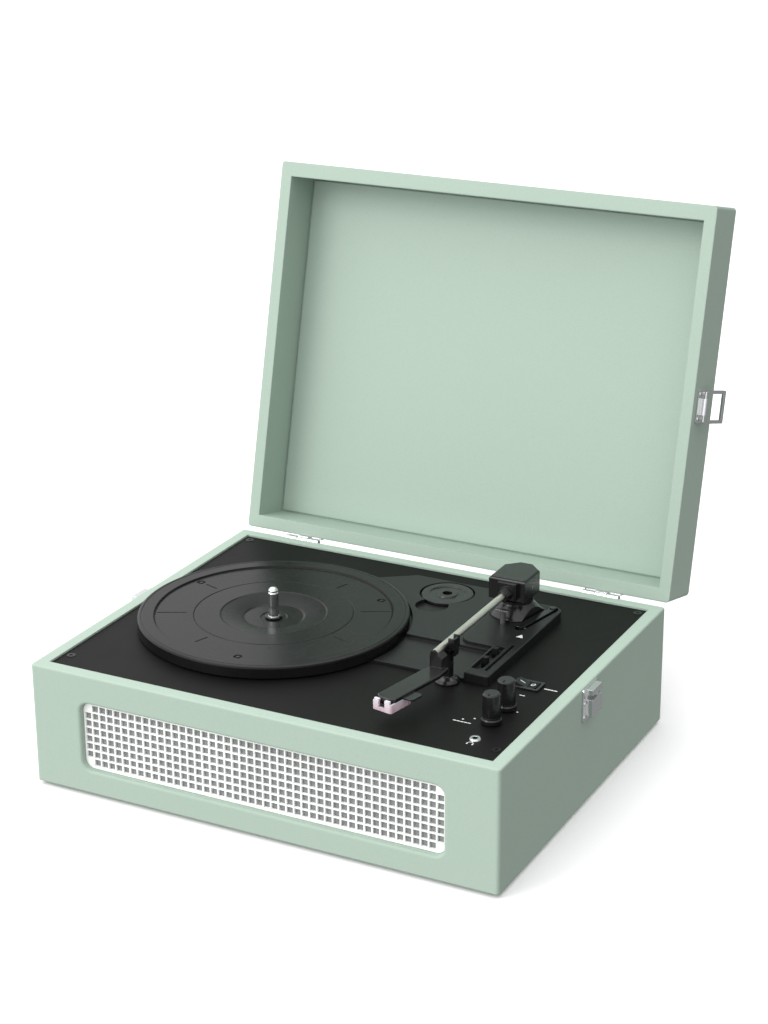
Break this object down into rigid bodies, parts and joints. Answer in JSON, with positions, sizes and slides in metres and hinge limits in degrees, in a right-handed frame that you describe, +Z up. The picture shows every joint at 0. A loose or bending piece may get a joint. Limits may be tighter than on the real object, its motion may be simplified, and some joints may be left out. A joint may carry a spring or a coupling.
{
  "type": "suitcase record player",
  "caption": "Portable electric record player in a hinged suitcase case: belt-driven platter, lifting tonearm, front speaker grille, side latches.",
  "frame": {"origin": "bottom centre of the open player's bounding box, in the plane of the rubber feet", "axes": "+Z up, -Y towards the user (the grille side), +X to the user's right (the tonearm side)"},
  "size_m": [0.3734, 0.4012, 0.3669],
  "materials": {
    "leatherette": "matt pebbled leatherette over board",
    "board": "plain hardboard",
    "deck_black": "satin",
    "moulding_black": "satin",
    "platter_black": "satin with a glossy rim",
    "gloss_black": "gloss",
    "grille_white": "matt",
    "cloth": "woven",
    "bright": "bright plate",
    "steel": "drawn",
    "tube_metal": "satin anodised",
    "motor_steel": "zinc plated",
    "pulley_brass": "turned",
    "belt_rubber": "matt",
    "foot_rubber": "matt",
    "circuit": "varnished board",
    "cone_paper": "pressed paper",
    "magnet": "sintered",
    "guard_white": "translucent",
    "stylus_red": "gloss",
    "lining": "matt pebbled leatherette",
    "screw_black": "blackened"
  },
  "bodies": {
    "case": {"case_walls": "leatherette", "bottom_board": "board", "rubber_feet": "foot_rubber", "base_screws": "steel", "corner_blocks": "board", "deck_plate": "deck_black", "deck_screws": "screw_black", "speaker_grille": "grille_white", "grille_cloth": "cloth", "speaker_baffle": "board", "speaker_frames": "steel", "speaker_cones": "cone_paper", "speaker_magnets": "magnet", "amplifier_board": "circuit", "phones_jack": "bright", "jack_panel": "moulding_black", "line_out_jacks": "bright", "aux_jack": "gloss_black", "power_inlet": "gloss_black", "control_pots": "steel", "power_switch": "gloss_black", "mechanism_plate": "moulding_black", "spindle": "bright", "spindle_clip": "gloss_black", "drive_motor": "motor_steel", "drive_belt": "belt_rubber", "arm_board": "moulding_black", "arm_base": "gloss_black", "arm_rest": "gloss_black", "hinge_case_leaves": "bright", "hinge_pins": "steel", "case_catches": "bright", "handle_brackets": "bright"},
    "lid": {"lid_shell": "leatherette", "lid_lining": "lining", "hinge_lid_leaves": "bright", "latch_plates": "bright"},
    "right_bail": {"right_bail": "bright"},
    "left_bail": {"left_bail": "bright"},
    "handle": {"carry_handle": "gloss_black"},
    "platter": {"platter": "platter_black"},
    "pulley": {"motor_pulley": "pulley_brass"},
    "arm_post": {"arm_pivot": "steel"},
    "arm": {"arm_housing": "gloss_black", "tilt_axle": "steel", "counterweight": "steel", "arm_tube": "tube_metal", "headshell": "gloss_black", "cartridge": "gloss_black", "stylus": "stylus_red"},
    "guard": {"stylus_guard": "guard_white"},
    "clip": {"arm_clip": "gloss_black"},
    "cue": {"cue_lever": "gloss_black"},
    "lifter": {"lift_pin": "steel"},
    "speed": {"speed_lever": "moulding_black"},
    "stop": {"stop_lever": "moulding_black"},
    "adapter": {"adapter_45": "gloss_black"},
    "volume": {"volume_knob": "gloss_black"},
    "tone": {"tone_knob": "gloss_black"},
    "rocker": {"power_rocker": "gloss_black"}
  },
  "joints": [
    {"name": "lid_hinge", "type": "hinge", "parent": "case", "child": "lid", "pos_m": [0, 0.0863, 0.0884], "axis": [1, 0, 0], "range_deg": [0, 103.6]},
    {"name": "right_latch", "type": "hinge", "parent": "lid", "child": "right_bail", "pos_m": [0.1791, 0.1365, 0.22575], "axis": [0, -0.2351, -0.972], "range_deg": [0, 163]},
    {"name": "left_latch", "type": "hinge", "parent": "lid", "child": "left_bail", "pos_m": [-0.1791, 0.1365, 0.22575], "axis": [0, 0.2351, 0.972], "range_deg": [0, 163]},
    {"name": "handle_swing", "type": "hinge", "parent": "case", "child": "handle", "pos_m": [0, 0.09, 0.062], "axis": [1, 0, 0], "range_deg": [0, 100]},
    {"name": "platter_spin", "type": "hinge", "parent": "case", "child": "platter", "pos_m": [-0.0632, -0.0641, 0.098], "axis": [0, 0, -1], "continuous": true},
    {"name": "motor_spin", "type": "hinge", "parent": "case", "child": "pulley", "pos_m": [-0.0098, -0.0107, 0.092], "axis": [0, 0, -1], "continuous": true},
    {"name": "arm_swing", "type": "hinge", "parent": "case", "child": "arm_post", "pos_m": [0.0885, 0.016, 0.107], "axis": [0, 0, 1], "range_deg": [-45, 0]},
    {"name": "arm_lift", "type": "hinge", "parent": "arm_post", "child": "arm", "pos_m": [0.0885, 0.016, 0.1173], "axis": [1, 0, 0], "range_deg": [-10, 0]},
    {"name": "guard_slide", "type": "slide", "parent": "arm", "child": "guard", "axis": [0.1977, 0.9803, 0], "range_m": [-0.03, 0]},
    {"name": "rest_clip", "type": "hinge", "parent": "case", "child": "clip", "pos_m": [0.0945, -0.0975, 0.1214], "axis": [0, -1, 0], "range_deg": [0, 262]},
    {"name": "cue_raise", "type": "hinge", "parent": "case", "child": "cue", "pos_m": [0.10267, -0.00703, 0.0954], "axis": [-0.9829, 0.1843, 0], "range_deg": [-12, 0]},
    {"name": "lift_rise", "type": "slide", "parent": "case", "child": "lifter", "axis": [0, 0, 1], "range_m": [0, 0.0042]},
    {"name": "speed_select", "type": "slide", "parent": "case", "child": "speed", "axis": [0, 1, 0], "range_m": [-0.003, 0.003]},
    {"name": "stop_select", "type": "slide", "parent": "case", "child": "stop", "axis": [0, 1, 0], "range_m": [-0.002, 0.002]},
    {"name": "adapter_lift", "type": "slide", "parent": "case", "child": "adapter", "axis": [0, 0, -1], "range_m": [-0.03, 0]},
    {"name": "volume_turn", "type": "hinge", "parent": "case", "child": "volume", "pos_m": [0.1412, -0.141, 0.1], "axis": [0, 0, -1], "range_deg": [0, 270]},
    {"name": "tone_turn", "type": "hinge", "parent": "case", "child": "tone", "pos_m": [0.1412, -0.1182, 0.1], "axis": [0, 0, -1], "range_deg": [-135, 135]},
    {"name": "power_rock", "type": "hinge", "parent": "case", "child": "rocker", "pos_m": [0.1394, -0.0796, 0.0885], "axis": [0, -1, 0], "range_deg": [0, 14]}
  ],
  "couplings": [
    {"joint": "motor_spin", "follows": "platter_spin", "ratio": 9.1667},
    {"joint": "lift_rise", "follows": "cue_raise", "m_per_rad": -0.020054}
  ]
}
